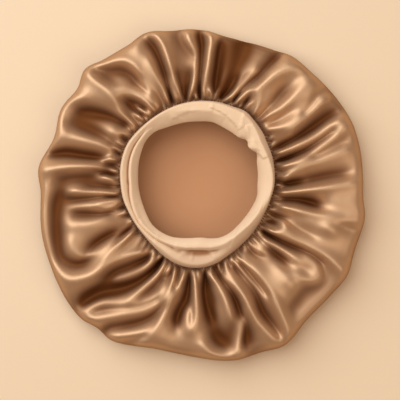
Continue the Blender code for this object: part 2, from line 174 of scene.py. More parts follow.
# %% The table of folds
# The rows go counterclockwise from the right. Path points are (degrees, mm), mostly from
# the rim to the band. Half widths and heights are in mm.
# Plump is 1.3 for a pinched crest, 2 for a soft one and 2.6 or more for a pillow.
Fold = namedtuple("Fold", "path rim_half band_half height plump")
FOLDS = [Fold(*row) for row in (
    (((1, 168), (0.5, 152), (-1, 134), (-3.5, 109), (-5, 95), (-6, 84)), 3.5, 3, 7.5, 1.6),
    (((4, 155), (3.5, 134), (2.5, 118)), 3.6, 3.5, -6.5, 2),
    (((1.7, 106), (0, 84)), 3.5, 3.5, -10.5, 2),
    (((13.5, 158), (12.5, 140), (11.5, 129), (10, 114), (7, 99), (4.5, 90)), 3.5, 2.6, 5.5, 1.8),
    (((16.5, 158), (15, 140), (13.5, 124)), 3, 2.4, -4, 1.7),
    (((11.5, 109), (11, 98), (10.5, 86)), 5, 4, 5, 3),
    (((21.5, 168), (19.5, 150), (17, 134), (14.7, 119), (13, 105), (12, 90)), 3.5, 2.4, 6.5, 1.5),
    (((21.5, 150), (20.3, 138), (19.5, 130), (17.8, 118), (16.5, 102), (16, 84)), 2, 3.8, -9.5, 1.9),
    (((24.5, 162), (24, 152), (22.5, 142), (21.3, 128), (21.2, 109), (21.3, 86)), 3, 2.6, 6.5, 1.6),
    (((27.5, 160), (27, 140), (26, 124), (24.5, 104), (23.5, 86)), 4, 3.6, -10, 2),
    (((33.5, 163), (33, 150), (32.3, 135), (31, 119), (30, 110)), 3.4, 2, 6, 1.4),
    (((29, 134), (30.5, 150), (33, 166), (36.5, 165), (37, 157), (35, 144),
      (33.6, 132)), 1.6, 1.6, -2.5, 1.6),
    (((38, 158), (35.5, 140), (34, 124), (33.5, 109), (36, 99), (40, 89)), 5, 2.6, 6.5, 2),
    (((39.5, 160), (38.5, 147)), 5, 5, 11, 2.4),
    (((38.5, 122), (39, 109), (40.5, 97)), 4, 3, -4, 2.4),
    (((43, 158), (42.6, 140), (42, 124), (42.3, 114), (44, 104), (44.8, 91)), 3.6, 2.4, 6.5, 1.6),
    (((47.3, 136), (47.5, 114), (47.5, 98), (48, 88)), 3.5, 4, -6.5, 2.2),
    (((51, 118), (50.3, 104), (49.8, 93), (50, 87)), 2, 1.6, 3, 1.4),
    (((47, 166), (50, 158), (53, 147), (55, 136), (57, 122), (58, 114)), 5, 3.6, 8.5, 1.8),
    (((58, 114), (54.5, 109), (52.2, 102), (51.5, 96), (52, 88)), 2.6, 2, 6.5, 1.5),
    (((58, 114), (61, 110), (63, 103), (64.5, 95), (65, 90)), 2.6, 2, 6.5, 1.5),
    (((59.5, 107), (59.5, 100), (60, 90)), 2.6, 2.4, -6.5, 1.8),
    (((55, 107), (56.5, 101), (58, 96)), 2, 1.8, 4, 1.5),
    (((54.3, 166), (54.6, 158), (56, 148), (57.6, 134)), 2.2, 1.8, 5.5, 1.4),
    (((57.5, 158), (58.5, 145), (60.5, 130), (63, 118), (65.3, 104), (66.5, 92)), 3, 2.4, -8, 1.8),
    (((62.7, 133), (63.8, 126), (65, 118), (67.3, 105), (69.3, 97), (72.6, 90)), 1.4, 1.2, 4, 1.4),
    (((64.5, 131), (67, 125), (67.8, 118), (68, 111)), 1.4, 1.4, 0.5, 1.5),
    (((70, 118), (71, 108), (72.5, 100), (75, 92)), 2, 2, -9, 1.7),
    (((65.5, 127), (66.2, 119), (67, 112)), 1.2, 1.2, -4.5, 1.6),
    (((72, 160), (71, 140), (71, 122), (72.5, 106), (75, 98)), 8, 5, -13, 2.4),
    (((76, 119), (76.5, 104), (77, 92)), 3, 2.6, -1.5, 2),
    (((81, 148), (80.7, 132), (80, 114), (79.5, 102), (79, 90)), 4, 2.2, -9.5, 1.9),
    (((82.5, 99), (81, 94), (81, 88)), 1.6, 1.6, 4, 1.4),
    (((88, 163), (85.5, 157), (84.3, 148), (84.7, 136), (85, 124), (86.3, 109), (87, 99),
      (85.5, 89)), 2.8, 2.6, 7.5, 1.8),
    (((89, 158), (88.2, 145), (88.3, 130), (88.6, 109), (88.3, 90)), 2.4, 1.8, -9, 1.7),
    (((94, 160), (93.5, 150), (91.5, 140), (90.5, 130), (90.8, 118), (92, 106), (94, 97),
      (95.5, 89)), 3, 2, 6, 1.7),
    (((97, 157), (96, 147), (93.5, 138), (91.5, 131)), 2.4, 2, -5, 1.7),
    (((94, 116), (95, 106), (96.5, 97), (97.5, 88)), 1.8, 1.6, -6.5, 1.6),
    (((98.5, 162), (98, 140), (97, 120), (98, 106)), 5, 3, -2.5, 2.6),
    (((100, 118), (99.7, 104), (98.9, 90)), 2, 1.8, -7, 1.7),
    (((108, 167), (106, 160), (104.5, 150), (103.8, 138), (103.2, 124), (101.8, 109), (101, 97),
      (100.5, 88)), 3, 2.4, 7.5, 1.6),
    (((105, 112), (104.8, 102), (104, 92)), 1.8, 1.6, 3, 1.6),
    (((108.5, 158), (107, 148), (106.5, 134), (106.5, 119), (107, 104),
      (107.3, 90)), 2.6, 2.4, -9, 1.8),
    (((114.5, 160), (114.5, 145), (114.3, 129), (114, 113)), 6.5, 5.5, 6.5, 3.2),
    (((111.5, 138), (110.7, 120), (109.5, 105), (109.5, 90)), 2.6, 2.2, 5, 1.6),
    (((113.5, 106), (113, 98), (113, 88)), 4, 4, -7, 2.4),
    (((118, 124), (117.3, 109), (117, 95), (116.5, 88)), 1.8, 1.6, 2.5, 1.5),
    (((122.5, 125), (120.5, 117), (118.8, 109)), 2, 1.8, -5.5, 1.8),
    (((134.5, 169), (131, 162), (126.5, 155), (122.5, 151), (120, 146), (118.2, 138),
      (117.6, 129)), 2.8, 2.6, 7, 1.5),
    (((131.5, 158), (127, 149), (123.5, 142), (121, 132), (120, 124)), 3, 2.6, -7, 2),
    (((130.5, 148), (129, 138)), 3, 3, -4.5, 2),
    (((132, 135), (129.5, 128), (125.5, 122), (121.5, 115), (119.3, 108),
      (118.3, 98)), 2.4, 2.2, 4.5, 1.7),
    (((127, 119), (123.5, 112), (121.2, 106)), 1.4, 1.4, 1.5, 1.7),
    (((132, 124), (129.5, 120), (126, 113), (123.5, 106), (121.7, 98), (120, 88)), 2.6, 2.4, 6.5, 1.6),
    (((131, 117), (128.5, 111), (126, 103), (124.5, 96)), 2.2, 2, -8.5, 1.8),
    (((128.5, 101), (126.5, 95), (125, 88)), 2, 1.8, 3, 1.6),
    (((130.5, 110), (129.7, 100), (128.6, 90)), 2.2, 2, -6.5, 1.8),
    (((134.7, 169), (134.8, 158), (134.3, 145), (133.8, 134), (134.5, 119)), 3.2, 3.2, 7, 1.7),
    (((138.5, 152), (138, 138), (136.5, 124), (136, 112)), 6, 5, 5.5, 3),
    (((134, 108), (134, 98), (133.5, 86)), 3, 3, -3.5, 2.2),
    (((131, 95), (130, 90), (129.5, 85)), 1.6, 1.6, 4, 1.5),
    (((138, 112), (137, 100), (137, 88)), 2.4, 2.2, 3.5, 1.8),
    (((141.5, 147), (144.5, 153), (148, 159.5), (151.5, 161), (155.5, 158),
      (159, 152.5)), 2.6, 2.6, 5.5, 1.5),
    (((148, 144), (147, 138), (144, 124), (141, 110), (139.8, 97)), 5, 2.6, -8, 2),
    (((154, 147), (153.5, 134), (153, 119), (152.5, 108)), 6, 4, -9, 2.4),
    (((150, 107), (148, 100), (146, 92), (144.5, 86)), 4, 3.6, 6, 3),
    (((154.5, 100), (154, 92), (153.5, 86)), 2.6, 2.4, -4, 2),
    (((159, 152.5), (162, 154), (166, 160), (170.5, 166), (174.5, 168)), 2.6, 2.6, 5, 1.5),
    (((159.8, 151), (159, 135), (158, 119), (157, 105), (157, 94)), 4, 3, 4.5, 2.2),
    (((168.5, 156), (166.5, 140), (166, 124), (165, 109), (164, 101)), 3, 2, -7.5, 1.8),
    (((165.5, 101), (163.7, 93), (163, 86)), 1.8, 1.8, 4.5, 1.6),
    (((167.5, 98), (167, 92), (166.5, 85)), 2, 2, -4.5, 1.8),
    (((174.7, 169), (174.6, 158), (173.5, 145), (172.2, 132), (170.8, 116),
      (170, 102)), 3, 2.6, 6.5, 1.6),
    (((172.5, 106), (173, 95), (174, 84)), 2.2, 2, -6, 1.8),
    (((181, 114), (181, 102), (181.5, 90)), 3, 2.8, -7, 2.2),
    (((175.5, 98), (176, 92), (178, 83)), 2.4, 2.2, 5, 2),
    (((179, 150), (177.5, 138), (176.5, 122), (176, 108)), 4.5, 3.6, -6.5, 2.2),
    (((177, 153), (181, 155.5), (185, 159), (190, 162.5), (196, 166.5), (203, 170), (208.5, 171),
      (213, 168)), 3.6, 3.6, 6, 2),
    (((213, 168), (216.5, 163), (219, 152), (220.7, 142), (221.5, 130), (223, 114), (226, 102),
      (230, 92), (233, 83)), 3.6, 3, 7, 1.9),
    (((181, 138), (187, 147), (194, 151), (202, 157), (209, 161), (213.5, 151),
      (215, 138)), 5, 3, -9.5, 2.2),
    (((195, 141), (198, 136), (198, 128), (200, 118), (200, 104)), 5, 4, 5.5, 3),
    (((203.5, 144), (207, 146), (210.5, 144), (212.5, 137), (213.5, 129)), 2.6, 2.4, 3.5, 1.7),
    (((212, 134), (210.5, 124), (210, 112), (210, 100)), 2.6, 2.4, -7, 1.9),
    (((209.5, 98), (209, 86)), 2.6, 2.6, -2, 1.9),
    (((183, 132), (183.8, 119), (184.5, 107), (185.3, 96), (187, 83)), 2.6, 2.2, 5, 1.6),
    (((187, 134), (187, 114), (187.5, 98), (188.7, 80)), 2, 2, -6, 1.6),
    (((190, 132), (191, 119), (191.8, 108)), 3.6, 3.2, 4, 2.6),
    (((191, 106), (190.3, 100), (191, 91), (191.5, 79)), 2, 1.8, 5, 1.6),
    (((192, 107), (194.8, 101), (195, 94), (193, 83)), 2, 1.8, 4.5, 1.6),
    (((193.5, 130), (195.5, 114), (197, 104), (197.3, 96)), 2.2, 2, -6.5, 1.8),
    (((199.5, 90), (199, 80)), 5, 5, -3, 2.6),
    (((215, 126), (214.3, 114), (213.7, 102)), 1.8, 1.8, 3.5, 1.8),
    (((219, 126), (218.3, 117), (217.2, 104), (216.8, 92), (215.5, 79)), 2.2, 1.8, 6, 1.4),
    (((214.5, 104), (214, 92), (213.3, 80)), 1.6, 1.6, -5.5, 1.6),
    (((222.5, 109), (223, 97), (223, 84)), 3, 3.6, 0.5, 2.6),
    (((226.3, 172), (226.7, 162), (228, 152), (231, 141), (235, 130), (238.5, 119), (241.5, 107),
      (244, 96), (244.8, 86)), 3.6, 3, -11.5, 1.8),
    (((229, 130), (232, 121), (235, 113), (237.5, 104), (239, 94), (240.5, 84)), 2.2, 2, 2, 1.6),
    (((225.5, 134), (226.5, 124), (229, 114), (232.5, 102), (236.5, 90)), 3.2, 2.8, -8.5, 2),
    (((230.5, 179), (233, 173), (236.5, 163), (240, 154), (244, 146), (248, 138), (251.5, 130),
      (254, 122), (255.3, 110), (255.5, 99), (255, 90)), 2.6, 2.2, 6, 1.6),
    (((228, 176), (229.5, 166), (231.5, 157), (235.5, 150), (240, 143), (244, 136), (248, 128),
      (250.5, 119), (251.5, 111)), 2.6, 2, 4, 1.6),
    (((231, 170), (234, 160), (238, 151), (242.5, 143), (247, 135), (250.5, 126)), 2.2, 1.8, -7.5, 1.8),
    (((239, 141), (240.5, 132), (242.3, 121), (244.5, 110), (246.3, 100),
      (247.5, 90)), 2.2, 2, 4.5, 1.5),
    (((243, 132), (246.5, 118), (249, 107), (250, 96)), 3.6, 3.2, -11, 2.2),
    (((239.5, 184), (241.5, 178), (245.5, 171), (249, 164), (251, 158)), 2.6, 2.4, 6, 1.5),
    (((237.5, 180), (239.5, 172), (243.5, 163), (248, 153), (251.5, 143),
      (254, 131)), 2.8, 2.4, -8, 1.8),
    (((244.5, 180), (248, 173), (250.7, 166)), 2.4, 2, -3, 1.8),
    (((250.5, 176), (252.5, 166), (254, 155), (254.7, 145), (255.7, 134), (257, 122), (259, 109),
      (261, 98), (263, 88)), 2.8, 2.4, 7, 1.7),
    (((256, 168), (257.5, 158), (257.8, 150)), 5, 4, 5, 3),
    (((250, 98), (251.5, 93), (252, 87)), 1.8, 1.6, 4.5, 1.5),
    (((253, 106), (253.5, 96), (253.3, 88)), 1.4, 1.4, -4, 1.5),
    (((258, 110), (258, 99), (257.5, 88)), 1.8, 1.8, -3.5, 1.6),
    (((261.3, 145), (261.4, 139), (262.5, 130), (264.8, 117), (265, 104),
      (265, 90)), 3.4, 3, -10.5, 2),
    (((267.5, 150), (269, 143), (269.6, 132), (269.7, 122), (269, 109), (268.3, 98),
      (268.5, 86)), 2.8, 3, 7, 1.8),
    (((266.3, 148), (265.8, 140), (265.7, 131)), 1.6, 1.4, 4, 1.4),
    (((271.5, 97), (271.5, 87)), 2.2, 2, 4.5, 2),
    (((267.5, 143), (267.6, 131)), 1.2, 1.2, -3, 1.5),
    (((276, 140), (274.7, 128), (273.8, 114), (274.7, 100), (275.5, 86)), 2.4, 1.8, -9, 1.6),
    (((272, 166), (274, 174), (277.5, 180), (281.5, 183), (283.8, 178), (285, 168), (287, 158),
      (289.5, 148), (290.8, 140)), 3, 2.2, 5.5, 1.6),
    (((276.5, 156), (279, 167), (283, 166), (285, 150)), 6, 6, -12, 2.4),
    (((286.5, 172), (288.5, 158), (289.8, 148), (288.7, 140), (288.5, 128), (287.8, 118),
      (285.5, 107), (283.5, 97)), 2, 2.2, -10, 1.8),
    (((284, 142), (284.3, 128), (283.8, 117), (282, 106), (279, 97), (276.6, 91),
      (276, 85)), 3.4, 2.4, 6.5, 1.8),
    (((278, 124), (276.8, 112), (276.5, 102)), 1.8, 1.6, -4.5, 1.7),
    (((279.8, 138), (279.8, 124), (279, 112)), 3, 2.6, -1, 2.2),
    (((284, 100), (283.3, 92), (282.5, 85)), 1.8, 1.8, -5.5, 1.7),
    (((296.8, 178), (295.5, 165), (293.5, 152), (293, 136), (292.5, 126), (290.5, 115),
      (287, 105), (284.8, 99)), 3.2, 2.6, 7, 1.8),
    (((291.5, 112), (290, 100), (288, 91), (286.5, 84)), 3.4, 3.2, 5, 2.6),
    (((299, 178), (298.3, 166), (297.3, 155), (297, 144), (298.3, 133), (298.3, 120),
      (296.3, 104), (294.3, 90)), 2.2, 2, -8, 1.8),
    (((300.5, 136), (299.9, 124), (298.3, 112), (297, 100), (295.5, 91),
      (292.5, 83)), 2, 1.8, 6, 1.4),
    (((299.5, 186), (301, 179), (302, 168), (303, 157), (303.5, 147), (304.3, 136), (304, 124),
      (303.3, 109), (301, 97), (298.5, 86)), 2.8, 2.4, 7.5, 1.6),
    (((302, 134), (301.5, 119), (300.3, 104), (298.7, 92)), 2, 2.2, -8, 1.8),
    (((308.5, 140), (308, 124), (306, 109), (303.5, 97), (301.5, 88)), 5, 3.6, 6.5, 3),
    (((313, 148), (313, 136)), 6, 5, 12, 3),
    (((314, 128), (314, 120)), 5, 4.5, 7, 3),
    (((313.5, 112), (313, 106)), 4.5, 4, 1, 3),
    (((317, 109), (313.5, 104), (310.5, 97), (308.5, 88)), 2.6, 2.4, -4.5, 2),
    (((317.5, 99), (315, 98.5), (312, 94)), 3.6, 3.6, 9, 2.4),
    (((319, 122), (318.8, 110), (318.3, 101)), 1.6, 1.6, -7.5, 1.5),
    (((323, 132), (322.5, 119), (321.8, 104), (320.5, 88)), 3.2, 2.8, 5.5, 2.4),
    (((317.5, 140), (318.7, 148), (320.5, 154), (323, 156), (325.3, 152), (327, 145),
      (327, 134)), 2.6, 2.2, 5.5, 1.7),
    (((321.5, 147), (321.9, 139)), 2.4, 2, -1.5, 2),
    (((316, 158), (319, 164), (322, 166), (325, 163), (326.5, 155)), 2.2, 2, -4.5, 1.8),
    (((307, 162), (311, 159), (315, 156)), 4, 3.4, -7, 2.4),
    (((308, 178), (312, 176), (320, 174), (325, 170)), 4, 4, 2.5, 2.6),
    (((328, 152), (328.4, 138), (328.3, 126), (327, 112), (326, 100),
      (324.7, 86)), 1.8, 2, -11, 1.6),
    (((328.5, 181), (329.3, 172), (330.3, 158), (330.4, 145), (330.2, 134), (329, 114), (328, 99),
      (327.3, 87)), 2.6, 2, 7.5, 1.5),
    (((334.5, 138), (333.5, 119), (332, 106)), 4, 3.4, 4.5, 2.8),
    (((328.8, 96), (331, 99), (333.5, 101), (336.5, 98)), 2.6, 2.6, 9, 1.8),
    (((330.5, 90), (330, 84)), 2.4, 2.2, 2, 2),
    (((333.6, 90), (333, 86), (332.5, 81)), 1.8, 1.8, -6, 1.8),
    (((336, 132), (336.8, 112), (337.8, 100)), 2.4, 2.2, -2, 2),
    (((341.5, 152), (341.5, 140)), 6, 5.5, 13, 2.2),
    (((341.5, 124), (341.6, 118)), 5, 4.5, 5, 2.2),
    (((341.7, 102), (341.8, 94)), 4, 3.5, -1, 2.2),
    (((339, 98), (338.7, 90), (338, 82)), 1.8, 1.6, -4.5, 1.7),
    (((338, 168), (339, 160)), 6, 6, 1, 3),
    (((344, 168), (344, 158)), 3, 3, -3.5, 2.2),
    (((347.8, 175), (346.7, 165), (346, 150), (346.2, 138), (346, 124), (345.5, 109),
      (345, 92)), 2.4, 2.2, 5.5, 1.5),
    (((350, 126), (351.5, 114), (352, 102), (351, 92), (350.5, 82)), 3, 4.6, -10.5, 2),
    (((352.3, 163), (353, 154), (353.7, 143)), 5, 5, 5.5, 3.2),
    (((348, 177), (350, 171), (352, 166.5), (355, 165), (358.5, 166.5),
      (360.5, 163)), 2.6, 2.6, 5, 1.6),
)]
print("The table has", len(FOLDS), "folds and hollows")

# %% [markdown]
# ## The gathers beside the band
#
# The round of satin is three times as long as the band that it is sewn to, so right at
# the seam the cloth stands in dozens of narrow pleats with dark gaps between them. No
# two are alike. Their places and lengths are drawn from a seeded generator, which gives
# the same gathers each time. They are rows of the same kind as the folds.

# %% Narrow gathers
GATHERS = 76
OFF_PLACE = 0.34            # how far a gather may stand from its even place, in gathers
GAP_AFTER = (0.40, 0.60)    # where the gap follows its crest, in gathers
GATHER_LENGTHS = (7, 9, 11, 14, 17)     # mm, as are the heights
LEAN = 0.16                 # degrees that a gather may lean for each mm of its length
CREST_HEIGHTS = (0.5, 3.0)
GAP_HEIGHTS = (-5.0, -2.0)
draw = random.Random(11)


def gathers():
    """A crest and a gap for each gather, from where it runs out to the seam."""
    rows = []
    for number in range(GATHERS):
        crest = (number + draw.uniform(-OFF_PLACE, OFF_PLACE)) * 360 / GATHERS
        gap = crest + draw.uniform(*GAP_AFTER) * 360 / GATHERS
        seam = float(np.interp(crest, bearings, seam_reach, period=360)) / MM
        length = draw.choice(GATHER_LENGTHS)
        aside = draw.uniform(-LEAN, LEAN) * length
        middle = (crest + 0.3 * aside, seam + 0.4 * length)
        path = ((crest + aside, seam + length), middle, (crest, seam - 1))
        rows.append(Fold(path, 1.8, 1.2, height=draw.uniform(*CREST_HEIGHTS), plump=1.6))
        middle = (gap + 0.3 * aside, seam + 0.3 * length)
        path = ((gap + aside, seam + 0.9 * length), middle, (gap, seam - 1))
        rows.append(Fold(path, 1.6, 1.0, height=draw.uniform(*GAP_HEIGHTS), plump=2.0))
    return rows


apart = 2 * math.pi * seam_reach.mean() / GATHERS / MM
print("There are", GATHERS, "gathers, one every", round(apart, 1), "mm")

# %% [markdown]
# ## Raise the folds
#
# Cloth under a little tension runs smoothly from one crest down into the next hollow and
# up again. So every crest line and every hollow's line pulls the cloth to its own height,
# the nearest ones hardest, and between them the heights mix. Each line's nearest stretch
# is looked up on a smooth curve through its path. A pinched crest pulls right up to its
# line, and a plump one lets the cloth round over.
#
# Satin is also a little stiff. So at last the heights are drawn towards their neighbours:
# most of the relief is rounded over broadly, and the rest stays crisp. At the band the
# stitches hold the gathers, so there nearly all of it stays crisp.

# %% From crest lines to heights
PATH_STEPS = 5              # stretches between two points of a path
PULL_FALLS = 2.0            # how fast a line's pull falls with distance from it
PLAIN_REACH = 18.0          # mm at which the plain crown pulls as hard as a line
PINCHED, PILLOW = 1.3, 2.6  # the plump values between which a crest widens
PINCHED_WIDTH = 0.30        # share of its half width over which a pinched crest is blunt
SHARP_BELOW = 2             # a hollow less plump than this ends in a sharp line
SHARP_WIDTH = 0.45          # share of its blunt width that such a hollow keeps
FOLD_SCALE = 1.8            # raises the whole table
BROAD, CRISP_CREST = 22, 3  # passes that round the folds over, for most and for the rest
CRISP_OUTSIDE, CRISP_AT_BAND = 0.22, 0.9
CREST_DROP = 0.85           # share of its height that a crest loses at the seam
# Shares of the way from the rim (0) to the seam (1) between which each change happens.
FOLDS_START = (-0.04, 0.05)
CRISPER = (0.70, 0.92)
CRESTS_END = (0.93, 1.0)
GAPS_END = (0.985, 1.0)
# Shares of the way along a line between which its pull begins.
FOLD_BEGINS = (-0.12, 0.08)
GATHER_BEGINS = (0.0, 0.75)


def eased(value, start, end):
    """0 before start, 1 after end, and a smooth step between."""
    t = np.clip((value - start) / (end - start), 0, 1)
    return t * t * (3 - 2 * t)


def smooth_path(path):
    """Points in mm along a smooth curve through a path's bearings and distances."""
    deg, reach = np.array(path, float).T
    places = np.arange(len(path), dtype=float)
    wanted = np.linspace(0, len(path) - 1, (len(path) - 1) * PATH_STEPS + 1)
    turn = smooth_through(places, np.radians(deg), wanted)
    out = smooth_through(places, reach, wanted)
    return np.column_stack([out * np.cos(turn), out * np.sin(turn)])


def beside_path(line, x, y):
    """Each point's distance from a line, + on its left, and its share of the way along."""
    nearest = np.full(x.shape, 1e9)
    signed = np.zeros(x.shape)
    share = np.zeros(x.shape)
    for index, (start, end) in enumerate(zip(line, line[1:])):
        way = end - start
        t = np.clip(((x - start[0]) * way[0] + (y - start[1]) * way[1]) / (way @ way), 0, 1)
        off_x, off_y = x - start[0] - t * way[0], y - start[1] - t * way[1]
        away = np.hypot(off_x, off_y)
        closer = away < nearest
        side = np.where(way[0] * off_y - way[1] * off_x >= 0, 1.0, -1.0)
        nearest = np.where(closer, away, nearest)
        signed = np.where(closer, side * away, signed)
        share = np.where(closer, (index + t) / (len(line) - 1), share)
    return signed, share


def pulled(rows, begins, x, y):
    """The pull of some rows, and that pull times their heights, at points in mm."""
    pull_of_all = np.zeros(x.shape)
    lift = np.zeros(x.shape)
    for fold in rows:
        signed, share = beside_path(smooth_path(fold.path), x, y)
        half = fold.rim_half + (fold.band_half - fold.rim_half) * share
        soft = half * (PINCHED_WIDTH + (1 - PINCHED_WIDTH) * eased(fold.plump, PINCHED, PILLOW))
        if fold.height < 0 and fold.plump < SHARP_BELOW:
            away = np.abs(signed) + SHARP_WIDTH * soft
        else:
            away = np.sqrt(signed**2 + soft**2)
        pull = eased(share, *begins) / away**PULL_FALLS
        lift += pull * fold.height
        pull_of_all += pull
    return pull_of_all, lift


def raised_folds(x, y):
    """Height of all the folds together at points given in mm from the band's axis."""
    fold_pull, fold_lift = pulled(FOLDS, FOLD_BEGINS, x, y)
    gather_pull, gather_lift = pulled(gathers(), GATHER_BEGINS, x, y)
    plain_pull = 1 / PLAIN_REACH**PULL_FALLS
    return FOLD_SCALE * (fold_lift + gather_lift) / (fold_pull + gather_pull + plain_pull)


def rounded_over(relief, passes):
    """Heights drawn a little towards their neighbours, along the rings and across them."""
    for _ in range(passes):
        relief = 0.5 * relief + 0.25 * (np.roll(relief, 1, axis=1) + np.roll(relief, -1, axis=1))
        relief[1:-1] = 0.5 * relief[1:-1] + 0.25 * (relief[:-2] + relief[2:])
    return relief


def by_ring(start, end):
    """For each ring of the crown: 0 before a share of the way to the seam, 1 after another."""
    return eased(crown_along, start, end)[:, None]


crown_x = crown_reach * np.cos(np.radians(bearings))
crown_y = crown_reach * np.sin(np.radians(bearings))
first_billow = FLOOR_ROWS + TURN_ROWS
relief = np.zeros(crown_reach.shape)
relief[first_billow:] = MM * raised_folds(crown_x[first_billow:] / MM, crown_y[first_billow:] / MM)
relief *= by_ring(*FOLDS_START)
crisp = CRISP_OUTSIDE + (CRISP_AT_BAND - CRISP_OUTSIDE) * by_ring(*CRISPER)
relief = (1 - crisp) * rounded_over(relief, BROAD) + crisp * rounded_over(relief, CRISP_CREST)
crests_left = 1 - CREST_DROP * by_ring(*CRESTS_END)
gaps_left = 1 - by_ring(*GAPS_END)
relief *= np.where(relief > 0, crests_left, gaps_left)
relief[:first_billow] = 0
crown_points = np.dstack([BAND_AXIS[0] + crown_x, BAND_AXIS[1] + crown_y, crown_height + relief])
print("The folds rise from", relief.min().round(4), "to", relief.max().round(4), "m")

# %% [markdown]
# ## Sew the crown
#
# The rings become one sheet of faces. Its flat pattern is kept as a UV map, in metres on
# the cut round of satin, so that a weave can follow the thread instead of the folds.
# Solidify turns the sheet into cloth with two faces, and gives the wrong side its own
# material. A share of painted light is kept for each point, from how high it stands among
# the folds and how near the rim or the band is: the finish paints shade where the cloth
# lies down in a hollow, where it turns under at the rim and beside the band.

# %% A sheet from rings
# Limits of the painted shade, which darkens the satin's colour in hollows, at the rim and beside the
# band.
FULL_PAINTED_SHADE_AT, NO_PAINTED_SHADE_AT = -7.5, 3.0      # mm of relief, in a hollow's bottom and on a crest
RIM_PAINTED_LIGHT = 0.4             # share of the light left at the rim, which turns under
SEAM_PAINTED_SHADE = 0.25           # share of the light lost beside the band
RIM_TURNS = (-0.02, 0.045)  # shares of the way to the seam
BESIDE_BAND = (0.97, 1.0)


def placed(name, data):
    """A new object in the scene, from a mesh, a lamp or a camera."""
    made = bpy.data.objects.new(name, data)
    bpy.context.scene.collection.objects.link(made)
    return made


def smooth_piece(name, points, faces):
    """A new piece from its points and faces."""
    mesh = bpy.data.meshes.new(name)
    mesh.from_pydata(points, [], faces)
    mesh.shade_smooth()
    return placed(name, mesh)


def ring_sheet(name, rings, closed_middle):
    """A sheet from rings of points. The middle may be closed with a fan of triangles."""
    rows, columns = rings.shape[:2]
    points = rings.reshape(-1, 3).tolist()
    faces = []
    for row in range(rows - 1):
        for column in range(columns):
            after = (column + 1) % columns
            low, high = row * columns, (row + 1) * columns
            faces.append((low + column, low + after, high + after, high + column))
    if closed_middle:
        points.append(rings[0].mean(axis=0).tolist())
        faces += [(len(points) - 1, (column + 1) % columns, column) for column in range(columns)]
    return smooth_piece(name, points, faces)


def flat_pattern(piece, columns):
    """A UV map of the cloth as it was cut, in metres, from the length of each ring's section."""
    mesh = piece.data
    points = np.empty(len(mesh.vertices) * 3)
    mesh.vertices.foreach_get("co", points)
    points = points.reshape(-1, 3)
    rows = len(points) // columns
    rings = points[: rows * columns].reshape(rows, columns, 3)
    steps = np.linalg.norm(np.diff(rings, axis=0), axis=2).mean(axis=1)
    out = np.concatenate([[0], np.cumsum(steps)])
    turn = np.radians(np.arange(columns) * 360 / columns)
    flat = np.zeros((len(points), 2))
    flat[: rows * columns, 0] = np.outer(out, np.cos(turn)).ravel()
    flat[: rows * columns, 1] = np.outer(out, np.sin(turn)).ravel()
    corner = np.empty(len(mesh.loops), int)
    mesh.loops.foreach_get("vertex_index", corner)
    layer = mesh.uv_layers.new(name="cut")
    layer.data.foreach_set("uv", flat[corner].ravel())
    return out[-1]


def thickened(piece, wall):
    """Gives a sheet its thickness, with its second material on the wrong side."""
    solid = piece.modifiers.new("Cloth thickness", "SOLIDIFY")
    solid.thickness = wall
    solid.offset = 0
    solid.material_offset = 1


def kept_for_finish(piece, name, values):
    """Keeps a number for every point of a sheet, for its finish to use."""
    flat = values.ravel().tolist()
    numbers = piece.data.attributes.new(name, "FLOAT", "POINT")
    numbers.data.foreach_set("value", flat + [flat[0]] * (len(numbers.data) - len(flat)))


crown = ring_sheet("crown_satin", crown_points, True)
# Painted shade: a share of light for each point, low in hollows, at the rim where the cloth turns under
# and beside the band.
painted_light = eased(relief / MM, FULL_PAINTED_SHADE_AT, NO_PAINTED_SHADE_AT)
painted_light *= RIM_PAINTED_LIGHT + (1 - RIM_PAINTED_LIGHT) * by_ring(*RIM_TURNS)
painted_light *= 1 - SEAM_PAINTED_SHADE * by_ring(*BESIDE_BAND)
kept_for_finish(crown, "painted_light", painted_light)
cut_radius = flat_pattern(crown, CROWN_COLUMNS)
thickened(crown, SATIN_WALL)
print("The cut round of satin is", round(2 * cut_radius, 3), "m across")

# %% [markdown]
# ## The band
#
# The band is a strip of soft cloth, doubled over its elastic. Laid like this it stands
# up from the seam, folds over and slopes into the opening. Nothing holds it taut, so it
# creases lengthways, into two or three ridges on the left and below. A strip that is bent
# into a ring has the same section all round, but this one changes from place to place.
# So it is lofted: each row of the table is one section through it, from its lip on the
# gathers to its free edge.

